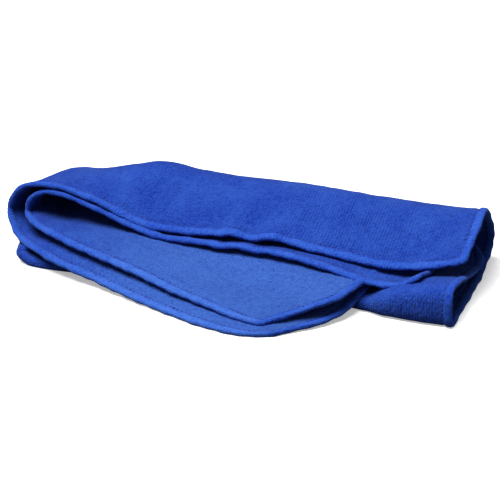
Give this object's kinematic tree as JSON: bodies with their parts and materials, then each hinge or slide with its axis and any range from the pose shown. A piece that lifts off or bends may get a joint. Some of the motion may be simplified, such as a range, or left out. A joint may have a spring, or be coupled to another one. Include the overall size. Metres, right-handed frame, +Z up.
{
  "type": "folded microfibre towel",
  "caption": "Loosely folded blue microfibre polishing towel with a sewn hem round its edge, lying on its folds.",
  "frame": {"origin": "middle of the folded towel's box, on the surface it lies on", "axes": "+X along the folded strip to its open end, +Y to the back fold, +Z up"},
  "size_m": [0.3237, 0.1593, 0.0552],
  "materials": {
    "microfibre_cloth": "looped microfibre pile, matt, royal blue",
    "hem_cloth": "overlocked hem, slightly lighter blue",
    "stitching_thread": "polyester sewing thread, dark blue"
  },
  "bodies": {
    "root": {"cloth_panel": "microfibre_cloth", "top_long_hem": "hem_cloth", "second_long_hem": "hem_cloth", "open_end_hem": "hem_cloth", "flap_end_hem": "hem_cloth", "top_long_stitching": "stitching_thread", "second_long_stitching": "stitching_thread", "open_end_stitching": "stitching_thread", "flap_end_stitching": "stitching_thread"}
  },
  "joints": []
}
